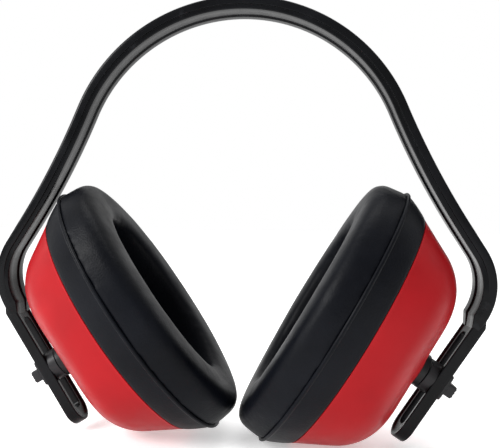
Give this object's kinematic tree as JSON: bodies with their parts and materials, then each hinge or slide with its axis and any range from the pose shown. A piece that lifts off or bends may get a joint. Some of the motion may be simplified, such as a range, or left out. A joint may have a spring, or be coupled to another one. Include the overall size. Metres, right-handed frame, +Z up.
{
  "type": "earmuff hearing protector",
  "caption": "Over-the-head earmuff with a black sprung band, height slots in both arms and red oval ear cups with black cushions on ball pivots.",
  "frame": {"origin": "middle of the seat at the crown, on the inner face of the band", "axes": "+X to the wearer's side, +Y to the wearer's back, +Z up"},
  "size_m": [0.1994, 0.0852, 0.1782],
  "materials": {
    "band_plastic": "gloss",
    "pivot_plastic": "satin",
    "red_shell": "satin",
    "rim_plastic": "satin",
    "black_vinyl": "satin",
    "dark_foam": "matte",
    "nylon": "satin",
    "spring_steel": "brushed"
  },
  "bodies": {
    "headband": {"headband": "band_plastic"},
    "left_slider": {"left_adjust_knob": "pivot_plastic", "left_slot_shoe": "nylon", "left_shaft_clip": "spring_steel", "left_pivot_post": "pivot_plastic"},
    "left_liner": {"left_socket_liner": "nylon"},
    "left_socket": {"left_socket_housing": "pivot_plastic", "left_socket_ring": "spring_steel"},
    "left_cup": {"left_cup_shell": "red_shell", "left_foam_backing": "dark_foam", "left_ear_foam": "dark_foam", "left_cushion_rim": "rim_plastic", "left_cushion_foam": "dark_foam", "left_cushion_skin": "black_vinyl"},
    "right_slider": {"right_adjust_knob": "pivot_plastic", "right_slot_shoe": "nylon", "right_shaft_clip": "spring_steel", "right_pivot_post": "pivot_plastic"},
    "right_liner": {"right_socket_liner": "nylon"},
    "right_socket": {"right_socket_housing": "pivot_plastic", "right_socket_ring": "spring_steel"},
    "right_cup": {"right_cup_shell": "red_shell", "right_foam_backing": "dark_foam", "right_ear_foam": "dark_foam", "right_cushion_rim": "rim_plastic", "right_cushion_foam": "dark_foam", "right_cushion_skin": "black_vinyl"}
  },
  "joints": [
    {"name": "left_height_slide", "type": "slide", "parent": "headband", "child": "left_slider", "axis": [-0.5446, 0, 0.8387], "range_m": [-0.001, 0.001]},
    {"name": "left_cup_tilt", "type": "hinge", "parent": "left_slider", "child": "left_liner", "pos_m": [-0.06733, 0, -0.14091], "axis": [0, 1, 0], "range_deg": [0, 7]},
    {"name": "left_cup_turn", "type": "hinge", "parent": "left_liner", "child": "left_socket", "pos_m": [-0.06733, 0, -0.14091], "axis": [0.5807, 0, -0.8141], "range_deg": [-6, 6]},
    {"name": "left_cup_spin", "type": "hinge", "parent": "left_socket", "child": "left_cup", "pos_m": [-0.06733, 0, -0.14091], "axis": [0.8141, 0, 0.5807], "continuous": true},
    {"name": "right_height_slide", "type": "slide", "parent": "headband", "child": "right_slider", "axis": [-0.5446, 0, -0.8387], "range_m": [-0.003, 0.015]},
    {"name": "right_cup_tilt", "type": "hinge", "parent": "right_slider", "child": "right_liner", "pos_m": [0.0682, 0, -0.13957], "axis": [0, -1, 0], "range_deg": [0, 3.5]},
    {"name": "right_cup_turn", "type": "hinge", "parent": "right_liner", "child": "right_socket", "pos_m": [0.0682, 0, -0.13957], "axis": [0.5, 0, 0.866], "range_deg": [-6, 6]},
    {"name": "right_cup_spin", "type": "hinge", "parent": "right_socket", "child": "right_cup", "pos_m": [0.0682, 0, -0.13957], "axis": [-0.866, 0, 0.5], "continuous": true}
  ]
}
